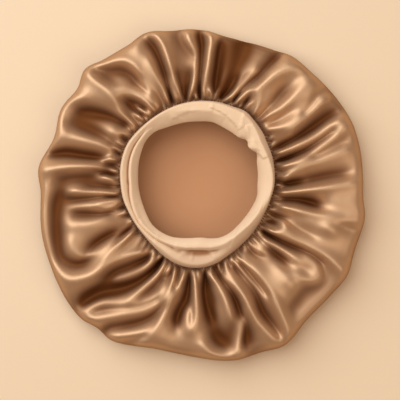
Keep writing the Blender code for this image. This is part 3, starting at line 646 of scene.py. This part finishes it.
# %% The band's sections
# Reaches in mm from the band's axis, and heights in mm above its foot, at each bearing.
BAND_WALL = 0.0015
BAND_FOOT = SEAM_HEIGHT + SATIN_WALL + BAND_WALL / 2
BAND_COLUMNS = 360
STEPS_BETWEEN = 4           # steps between two points of a section
CRISP = 0.80                # 0 rolls softly over a section's points, 1 folds sharply
UNDER_LIP = 1.0             # mm that the strip starts in under its lip
Section = namedtuple(
    "Section", "deg lip ridge ridge_up crease crease_up second second_up tuck tuck_up edge edge_up"
)
SECTIONS = [Section(*row) for row in (
    (0, 78.8, 77.2, 16, 73.5, 15.4, 69.5, 13.2, 65.5, 10.6, 61.9, 8),
    (10, 80, 77.8, 16.2, 74, 15.6, 70.5, 13.6, 67, 11, 63.3, 8),
    (20, 81.7, 77.5, 16.4, 74.5, 15.4, 71.5, 13.8, 68.5, 11.5, 65.3, 8.5),
    (29, 82.8, 77.5, 16.6, 75, 15.2, 73, 14.2, 71, 12, 68.9, 9.5),
    (33, 83.6, 78, 16.6, 75.2, 15, 72.6, 15.2, 69.5, 14.2, 66.2, 11),
    (36.5, 85, 79, 16.5, 76, 15, 73, 15.6, 69, 14.4, 65.2, 11),
    (41, 86, 81, 16.2, 77, 14.6, 74, 13.8, 71, 11.6, 68.2, 9),
    (48, 87.5, 84, 16, 79, 14.4, 75, 14.6, 70, 12, 64.8, 8.5),
    (57, 89.6, 86, 16, 80, 15, 75.5, 14, 70, 11.5, 64.2, 8),
    (66, 87.6, 85.5, 15.8, 80, 15.2, 75, 14.4, 70.5, 11.5, 64.5, 7.5),
    (75, 87, 85.4, 15.5, 80.5, 15.3, 75.5, 14.8, 71, 11, 66, 7),
    (90, 85.6, 84.4, 15, 80, 15.2, 75.2, 15.4, 70, 11, 65, 7),
    (104, 84, 83, 15.4, 80.5, 15.3, 77.5, 14.8, 71.5, 11, 65.3, 7),
    (117, 82.6, 81.6, 16.2, 80, 15.8, 77, 14.2, 72, 11, 66.5, 7),
    (130, 82, 80.8, 17, 78.5, 15.5, 76, 13.6, 73.5, 11.2, 70, 8),
    (140, 82.4, 81, 17, 76.5, 12, 74.5, 13.2, 72.5, 11.2, 69.8, 8),
    (150, 83, 81.8, 16.6, 75.9, 11, 74, 13.6, 70.8, 10.8, 67, 7.5),
    (160, 82, 80.8, 16.2, 74.5, 10.4, 72.5, 14.2, 69, 10.8, 64.5, 7),
    (170, 80.5, 79.4, 16, 72.3, 10.4, 70.3, 14.8, 66.5, 10.8, 62.3, 7),
    (180, 78.7, 77.7, 15.8, 70.7, 10.6, 68.6, 15, 65, 11, 61.1, 7),
    (191, 77.6, 76.5, 15.6, 71.2, 11.2, 69, 15.2, 65, 11.5, 60.2, 7.5),
    (203, 75.8, 74.8, 15.5, 71.6, 12, 69.8, 15.4, 66, 12, 60, 8),
    (212, 75.4, 74.4, 15.4, 72.4, 12.4, 70, 15.3, 66.8, 12.2, 61, 8.5),
    (222, 75.4, 74.2, 15.2, 71.6, 12.4, 69.4, 15.2, 67, 12.6, 62.3, 9),
    (232, 77, 74.5, 14.2, 70.8, 11.6, 68.6, 15.2, 66, 12.8, 61.8, 9.5),
    (243, 80.4, 76, 12.2, 69.6, 10.6, 67.6, 15, 64.5, 13.4, 60.2, 10),
    (255, 84.2, 80, 10, 69.4, 9.2, 66.4, 15.2, 62.5, 14.2, 57.2, 10.5),
    (264, 85.6, 82, 9.2, 68.4, 7.6, 65.2, 15, 61, 14.8, 55.4, 10.8),
    (274, 85.2, 81.6, 9.2, 68.6, 7.4, 65, 15.4, 60.6, 15.4, 54.8, 11),
    (283, 83.2, 79, 9.6, 70, 8.6, 66.2, 15.2, 62, 14.4, 57, 10.5),
    (292, 79.8, 76, 8.6, 71, 10.8, 66.6, 15.2, 63.2, 13.4, 59.2, 10),
    (303, 77, 74, 6.8, 70.4, 10.6, 66, 15.8, 62.8, 13, 60, 9.5),
    (315, 75.6, 73, 6.6, 70, 10.8, 66, 16, 62.8, 12.6, 59.4, 9),
    (326, 74.8, 73.2, 7.6, 70.8, 11.8, 67.4, 16.4, 63.5, 12.2, 59.6, 8.5),
    (338, 74.8, 73.6, 10.2, 71.8, 14.2, 69, 16.4, 64.5, 12, 61, 8),
    (349, 76.2, 75, 16, 72.5, 16, 68.6, 14.2, 65, 11.2, 62.6, 8),
)]


def round_the_table(rows, column, wanted):
    """A column of a table that runs round the circle, read smoothly at the wanted bearings."""
    places = [row.deg - 360 for row in rows[-3:]] + [row.deg for row in rows]
    places += [row.deg + 360 for row in rows[:3]]
    values = [getattr(row, column) for row in rows[-3:] + rows + rows[:3]]
    return smooth_through(places, values, wanted)


def through_section(values):
    """Points along every section, partly rolled over its given points and partly folded."""
    places = np.arange(len(values), dtype=float)
    wanted = np.linspace(0, len(values) - 1, (len(values) - 1) * STEPS_BETWEEN + 1)
    rolled = np.array([smooth_through(places, section, wanted) for section in values.T]).T
    folded = np.array([np.interp(wanted, places, section) for section in values.T]).T
    return rolled + CRISP * (folded - rolled)


band_bearing = np.arange(BAND_COLUMNS) * 360 / BAND_COLUMNS
band_at = {name: round_the_table(SECTIONS, name, band_bearing) for name in Section._fields[1:]}
PLACES = ("ridge", "crease", "second", "tuck", "edge")
band_reach = through_section(np.array(
    [band_at["lip"] - UNDER_LIP, band_at["lip"]] + [band_at[place] for place in PLACES]
))
band_up = through_section(np.array(
    [0 * band_at["lip"], 0.5 * band_at["ridge_up"]] + [band_at[place + "_up"] for place in PLACES]
))
print("The band has", len(SECTIONS), "sections of", len(PLACES) + 2, "points")

# %% [markdown]
# ## Where the band is joined
#
# The strip's two ends are sewn together at the upper right, and the cloth bunches there.
# Such a bunch shows as ledges, where one layer lies over the next: a sharp edge on one
# side that runs out softly on the other. A path's left side is the raised one. A cloth
# simulation would make ledges too, but seldom where the real ones lie. Slight ripples,
# drawn from the seeded generator, keep the rest from looking pressed.

# %% Ledges and ripples
Ledge = namedtuple("Ledge", "path runs_out height")
LEDGES = [
    Ledge(((81, 80.5), (67, 76.5), (53, 70.6)), 6.0, 2.0),
    Ledge(((57.5, 88), (55.5, 79), (52.5, 71), (49.5, 65)), 5.0, 2.2),
    Ledge(((50.5, 78), (45.5, 72.5), (40.5, 67.5)), 4.5, 2.2),
    Ledge(((36, 64), (31.5, 68), (26.5, 71), (21, 73)), 5.0, 2.2),
    Ledge(((111, 72), (95, 75.5), (78, 76.5)), 6.0, 1.2),
    Ledge(((249, 69), (258, 72.5), (266, 76)), 4.0, 1.6),
    Ledge(((278, 69), (281, 73), (283.5, 79)), 3.5, 1.5),
    Ledge(((128, 75), (140, 75.5), (152, 74.5)), 3.0, 0.7),
    Ledge(((318, 60.5), (305, 66), (296, 73)), 5.0, 0.9),
]
RIPPLES = 46
RIPPLE_STARTS = (58, 72)    # mm from the band's axis
RIPPLE_SLANTS = (-9, 9)     # degrees between its two ends
RIPPLE_RUNS = (6, 14)       # mm further out at its other end
RIPPLE_HALVES = (1.2, 2.6)  # mm to either side, where it runs out
RIPPLE_UP = 0.45            # mm, up or down
CLEAR_OF_FOOT = (3, 8)      # mm above the foot, from which ledges and ripples show
# The next four settle the band's painted shade, in its creases and at its foot beside the gathers.
CREASE_PASSES = 14          # rounds the band over, to tell the height round a crease
CREASE_DEEP = 1.25          # mm below the cloth around, at which a crease is all in shade
FOOT_SHADE = 0.62           # share of a crease's shade, beside the gathers
FOOT_IN_SHADE = (3, 14)     # mm above the foot, over which its shade ends


def ripples():
    """Slight slanting ripples as ledges that run out on both sides."""
    rows = []
    for _ in range(RIPPLES):
        deg = draw.uniform(0, 360)
        inner = draw.uniform(*RIPPLE_STARTS)
        outer = (deg + draw.uniform(*RIPPLE_SLANTS), inner + draw.uniform(*RIPPLE_RUNS))
        half, height = draw.uniform(*RIPPLE_HALVES), draw.uniform(-RIPPLE_UP, RIPPLE_UP)
        rows.append(Ledge(((deg, inner), outer), half, height))
    return rows


band_x = band_reach * np.cos(np.radians(band_bearing))
band_y = band_reach * np.sin(np.radians(band_bearing))
above_foot = eased(band_up, *CLEAR_OF_FOOT)
for ledge in LEDGES:
    signed, share = beside_path(smooth_path(ledge.path), band_x, band_y)
    raised = np.exp(-np.clip(signed, 0, None) / ledge.runs_out) * eased(signed, -0.5, 0.5)
    band_up += ledge.height * above_foot * raised * (share > 0) * (share < 1)
for ripple in ripples():
    signed, share = beside_path(smooth_path(ripple.path), band_x, band_y)
    band_up += ripple.height * above_foot * np.exp(-(signed / ripple.runs_out) ** 2)

band_points = np.dstack([
    BAND_AXIS[0] + MM * band_x, BAND_AXIS[1] + MM * band_y, BAND_FOOT + MM * band_up,
])
band = ring_sheet("band_cloth", band_points, False)
# Painted shade: a share for each point, high in a crease and low on the band beside the gathers.
painted_band_shade = eased(rounded_over(rounded_over(band_up, CREASE_PASSES) - band_up, 2), 0, CREASE_DEEP)
painted_band_shade = np.maximum(painted_band_shade, FOOT_SHADE * (1 - eased(band_up, *FOOT_IN_SHADE)))
kept_for_finish(band, "painted_band_shade", painted_band_shade)
flat_pattern(band, BAND_COLUMNS)
thickened(band, BAND_WALL)
rounded = band.modifiers.new("Soft edges", "SUBSURF")
rounded.levels = 1
rounded.render_levels = 1
print("The band stands", round(float(band_up.max()), 1), "mm above its seam")

# %% [markdown]
# ## Overlock stitches
#
# Satin and band are joined by an overlock seam. Its thread shows between the gathers and
# the band as a row of short dark stitches, each climbing from the satin to the band. Bump
# could draw them, but the seam is seen from the side too, so each is a thread with a
# square section. All of them are one mesh, which is lighter than many small objects.

# %% Stitches along the seam
STITCHES = 170
STITCH_HALF = 0.00075       # half the thread's thickness
STITCH_OUT = 0.0018         # a stitch's middle, out from the band's lip
STITCH_UP = 0.0042          # the same, above the band's foot
STITCH_BOW = 0.0004         # how far its middle bows out
STITCH_LENGTHS = (0.0020, 0.0030)
STITCH_RISE = 0.9           # how far it climbs for each step inward
STITCH_SLANTS = (0.2, 0.7)
# Places along a stitch and its thickness there, as shares.
STITCH_SHAPE = ((-0.5, 0.5), (-0.25, 1.0), (0.25, 1.0), (0.5, 0.5))


def one_stitch(points, faces, middle, way, up_way, length):
    """Adds one short thread, thickest in its middle."""
    first = len(points)
    aside = way.cross(up_way).normalized()
    over = aside.cross(way).normalized()
    for along, thick in STITCH_SHAPE:
        centre = middle + along * length * way + over * (STITCH_BOW if thick == 1 else 0.0)
        for corner in range(4):
            turn = math.pi / 4 + corner * math.pi / 2
            outward = math.cos(turn) * aside + math.sin(turn) * over
            points.append(centre + STITCH_HALF * thick * outward)
    for ring in range(len(STITCH_SHAPE) - 1):
        for corner in range(4):
            after = (corner + 1) % 4
            low, high = first + 4 * ring, first + 4 * ring + 4
            faces.append((low + corner, low + after, high + after, high + corner))
    faces.append((first + 3, first + 2, first + 1, first))
    faces.append((first + 12, first + 13, first + 14, first + 15))


def overlock():
    """All stitches of the seam as one piece."""
    points, faces = [], []
    for number in range(STITCHES):
        bearing = (number + draw.uniform(-0.2, 0.2)) * 360 / STITCHES
        turn = math.radians(bearing)
        lip = MM * float(np.interp(bearing, band_bearing, band_at["lip"], period=360))
        out = Vector((math.cos(turn), math.sin(turn), 0))
        round_way = Vector((-math.sin(turn), math.cos(turn), 0))
        middle = Vector((*BAND_AXIS, BAND_FOOT + STITCH_UP)) + out * (lip + STITCH_OUT)
        slant = draw.uniform(*STITCH_SLANTS) * round_way
        way = (-out + slant + Vector((0, 0, STITCH_RISE))).normalized()
        up_way = out + Vector((0, 0, 1))
        one_stitch(points, faces, middle, way, up_way, draw.uniform(*STITCH_LENGTHS))
    return smooth_piece("seam_stitches", points, faces)


stitches = overlock()
print("The seam has", STITCHES, "stitches")

# %% [markdown]
# ## Mixing finishes
#
# A finish is a small net of nodes. Written as sums it stays readable, so a socket is
# wrapped in a class that turns + - * into Math nodes, and one method makes any other
# node from its type, its settings and what goes into its sockets.

# %% A socket that can be used in a sum
class Value:
    """One output of a finish's nodes, used like a number."""

    def __init__(self, finish, socket):
        self.finish = finish
        self.socket = socket

    def worked_out(self, operation, first, second):
        return self.finish.node("ShaderNodeMath", {"operation": operation}, {0: first, 1: second})

    def __add__(self, other):
        return self.worked_out("ADD", self, other)

    __radd__ = __add__

    def __mul__(self, other):
        return self.worked_out("MULTIPLY", self, other)

    __rmul__ = __mul__

    def __sub__(self, other):
        return self.worked_out("SUBTRACT", self, other)

    def __rsub__(self, other):
        return self.worked_out("SUBTRACT", other, self)


class Finish:
    """A material with its surface shader, and a method for every further node."""

    def __init__(self, name, **constants):
        self.material = bpy.data.materials.new(name)
        self.material.use_nodes = True
        self.tree = self.material.node_tree
        self.surface = self.tree.nodes["Principled BSDF"]
        for socket, value in constants.items():
            self.surface.inputs[socket.replace("_", " ")].default_value = value

    def node(self, kind, settings, sockets, output=0):
        made = self.tree.nodes.new(kind)
        for name, value in settings.items():
            setattr(made, name, value)
        for name, value in sockets.items():
            self.feed(made.inputs[name], value)
        return Value(self, made.outputs[output])

    def feed(self, socket, value):
        if isinstance(value, Value):
            self.tree.links.new(value.socket, socket)
        else:
            socket.default_value = value

    def mixed(self, share, first, second):
        """A colour between two others."""
        return self.node("ShaderNodeMix", {"data_type": "RGBA"}, {0: share, 6: first, 7: second}, 2)


# %% [markdown]
# ## Satin, right side and wrong side
#
# Satin's long floats throw back the light in broad bands that have the yarn's own
# colour, as a brushed metal does, so the finish is mostly metallic and not very rough.
# The tone drifts slowly over the cloth. Down in a hollow the satin faces only more brown
# satin, so shade is painted there: the colour is mixed towards a deep brown, also at the
# rim and beside the band, and the shine is duller. The wrong side has its floats turned
# away, so it is the same yarn but nearly matt.

# %% Satin
LIT_BROWN, PALER_BROWN = (0.57, 0.388, 0.245, 1), (0.67, 0.47, 0.31, 1)
PAINTED_HOLLOW_SHADE_BROWN = (0.18, 0.068, 0.022, 1)
GLANCING_BROWN = (0.62, 0.42, 0.27, 1)
INNER_BROWN, PALER_INNER_BROWN = (0.53, 0.262, 0.122, 1), (0.63, 0.33, 0.165, 1)
THREAD_SCALE = 900.0        # grains of noise to a metre, for the yarn
HOLLOW_ROUGH, LIT_SMOOTHER, DRIFT_ROUGHER = 0.70, 0.19, 0.05

satin = Finish("Brown satin", Metallic=0.85, Specular_Tint=GLANCING_BROWN)
cut = satin.node("ShaderNodeUVMap", {"uv_map": "cut"}, {})
drift = satin.node("ShaderNodeTexNoise", {}, {"Vector": cut, "Scale": 9.0, "Detail": 2.0})
crest_tone = satin.mixed(drift, LIT_BROWN, PALER_BROWN)
# Painted shade: where the share of painted light is low, in hollows, at the rim and beside the band,
# the colour is mixed towards a deep brown.
painted_light_share = satin.node("ShaderNodeAttribute", {"attribute_name": "painted_light"}, {}, 2)
tone = satin.mixed(painted_light_share, PAINTED_HOLLOW_SHADE_BROWN, crest_tone)
satin.feed(satin.surface.inputs["Base Color"], tone)
roughness = HOLLOW_ROUGH + DRIFT_ROUGHER * drift - LIT_SMOOTHER * painted_light_share
satin.feed(satin.surface.inputs["Roughness"], roughness)
threads = satin.node("ShaderNodeTexNoise", {}, {"Vector": cut, "Scale": THREAD_SCALE, "Detail": 1.0})
creased = satin.node("ShaderNodeBump", {}, {"Strength": 0.06, "Distance": 0.0004, "Height": threads})
satin.feed(satin.surface.inputs["Normal"], creased)

wrong_side = Finish("Satin wrong side", Roughness=0.62, Sheen_Weight=0.35, Sheen_Roughness=0.5)
cut = wrong_side.node("ShaderNodeUVMap", {"uv_map": "cut"}, {})
drift = wrong_side.node("ShaderNodeTexNoise", {}, {"Vector": cut, "Scale": 7.0, "Detail": 3.0})
tone = wrong_side.mixed(drift, INNER_BROWN, PALER_INNER_BROWN)
wrong_side.feed(wrong_side.surface.inputs["Base Color"], tone)
crown.data.materials.append(satin.material)
crown.data.materials.append(wrong_side.material)
print("Satin has", len(satin.tree.nodes), "nodes and its wrong side", len(wrong_side.tree.nodes))

# %% [markdown]
# ## The band's cloth
#
# The band is paler and softer: a cream jersey with a faint sheen. Light that reaches the
# bottom of a crease has been thrown from cloth to cloth, which turns it a warm brown. So
# shade is painted into the creases and onto the band's foot, as a brown mixed into its colour.

# %% Band cloth
CREAM, PALER_CREAM = (0.79, 0.595, 0.40, 1), (0.87, 0.70, 0.52, 1)
PAINTED_SHADE_BROWN = (0.34, 0.15, 0.055, 1)

jersey = Finish("Cream band cloth", Roughness=0.6, Sheen_Weight=0.3, Sheen_Roughness=0.45)
cut = jersey.node("ShaderNodeUVMap", {"uv_map": "cut"}, {})
drift = jersey.node("ShaderNodeTexNoise", {}, {"Vector": cut, "Scale": 12.0, "Detail": 2.0})
tone = jersey.mixed(drift, CREAM, PALER_CREAM)
# Painted shade: the cream is mixed towards brown in the creases and at the band's foot.
painted_band_shade_share = jersey.node("ShaderNodeAttribute", {"attribute_name": "painted_band_shade"}, {}, 2)
tone = jersey.mixed(painted_band_shade_share, tone, PAINTED_SHADE_BROWN)
jersey.feed(jersey.surface.inputs["Base Color"], tone)
for _ in ("right side", "wrong side"):
    band.data.materials.append(jersey.material)
print("The band cloth has", len(jersey.tree.nodes), "nodes")

# %% [markdown]
# ## The seam's thread
#
# The overlock thread matches the satin but lies in the gathers' shade, and spun thread
# is matt. That shade is painted into its colour, far darker than the satin's, so it reads
# as a dark brown line of dots.

# %% Thread
# The thread's own brown with painted shade: both colours are darkened far below the satin's.
DARK_THREAD_IN_PAINTED_SHADE, PALER_THREAD_IN_PAINTED_SHADE = (0.07, 0.03, 0.012, 1), (0.15, 0.07, 0.03, 1)

thread = Finish("Brown sewing thread", Roughness=0.75)
where = thread.node("ShaderNodeTexCoord", {}, {}, 3)
strands = thread.node("ShaderNodeTexNoise", {}, {"Vector": where, "Scale": THREAD_SCALE, "Detail": 2.0})
tone = thread.mixed(strands, DARK_THREAD_IN_PAINTED_SHADE, PALER_THREAD_IN_PAINTED_SHADE)
thread.feed(thread.surface.inputs["Base Color"], tone)
stitches.data.materials.append(thread.material)
print("Thread has", len(thread.tree.nodes), "nodes")

# %% [markdown]
# ## Hand the pieces to the part
#
# Each piece of cloth stands for its solid and rides on the part's one body.

# %% Fit the pieces to the part
for piece, node, slot in ((crown, "crown", "satin"), (band, "band", "band_cloth")):
    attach(piece, "root")
    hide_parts(node)
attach(stitches, "root")

# %% [markdown]
# ## Table, light and camera
#
# The bonnet lies on a pale table. A large soft lamp lights it from the upper left, as a
# window would, and a weaker and warmer one softens the shadow on the other side. The
# room itself glows warm, and that is what fills the hollows.

# %% Table and light
TABLE_HALF = 3.0            # m from its middle to a side
TABLE_CREAM = (0.84, 0.71, 0.54, 1)
WARM_GLOW, GLOW_STRENGTH = (1.0, 0.60, 0.37, 1), 0.32


def table_top():
    """A square of pale table under the bonnet."""
    mesh = bpy.data.meshes.new("table")
    corners = [(x * TABLE_HALF, y * TABLE_HALF, 0) for x, y in ((-1, -1), (1, -1), (1, 1), (-1, 1))]
    mesh.from_pydata(corners, [], [(0, 1, 2, 3)])
    mesh.materials.append(Finish("Pale table", Base_Color=TABLE_CREAM, Roughness=0.8).material)
    table = placed("table", mesh)


def lamp(name, bearing, height, distance, size, watts, colour):
    """A square lamp at a bearing and a height in degrees, turned to the bonnet."""
    data = bpy.data.lights.new(name, "AREA")
    data.size = size
    data.energy = watts
    data.color = colour
    made = placed(name, data)
    turn, up = math.radians(bearing), math.radians(height)
    way = Vector((math.cos(turn) * math.cos(up), math.sin(turn) * math.cos(up), math.sin(up)))
    made.location = way * distance
    made.rotation_euler = way.to_track_quat("Z", "Y").to_euler()


table_top()
lamp("Window", 138, 50, distance=1.9, size=2.3, watts=40, colour=(1.0, 0.98, 0.93))
lamp("Fill", -35, 55, distance=2.2, size=1.8, watts=12, colour=(1.0, 0.87, 0.72))
world = bpy.data.worlds.new("Room")
world.use_nodes = True
glow = world.node_tree.nodes["Background"].inputs
glow["Color"].default_value = WARM_GLOW
glow["Strength"].default_value = GLOW_STRENGTH
bpy.context.scene.world = world
bpy.context.scene.view_settings.view_transform = "Standard"
print("Lamps:", [thing.name for thing in bpy.context.scene.objects if thing.type == "LIGHT"])

# %% [markdown]
# ## Camera
#
# The camera looks straight down from well above, with a long lens, so the band doesn't
# hide the satin beside it.

# %% Camera
VIEW_WIDTH = 0.414          # what the picture spans across the bonnet
VIEW_HEIGHT = 0.03          # the height over the table at which it spans that
CAMERA_HEIGHT = 1.8
MIDDLE_FROM_AXIS = (0.0026, -0.0160)    # the picture's middle, from the band's axis
camera_data = bpy.data.cameras.new("Camera")
camera_data.lens = camera_data.sensor_width * (CAMERA_HEIGHT - VIEW_HEIGHT) / VIEW_WIDTH
camera = placed("Camera", camera_data)
camera.location = (*(BAND_AXIS + MIDDLE_FROM_AXIS), CAMERA_HEIGHT)
bpy.context.scene.camera = camera
print("The camera is", CAMERA_HEIGHT, "m up, with a lens of", round(camera_data.lens), "mm")
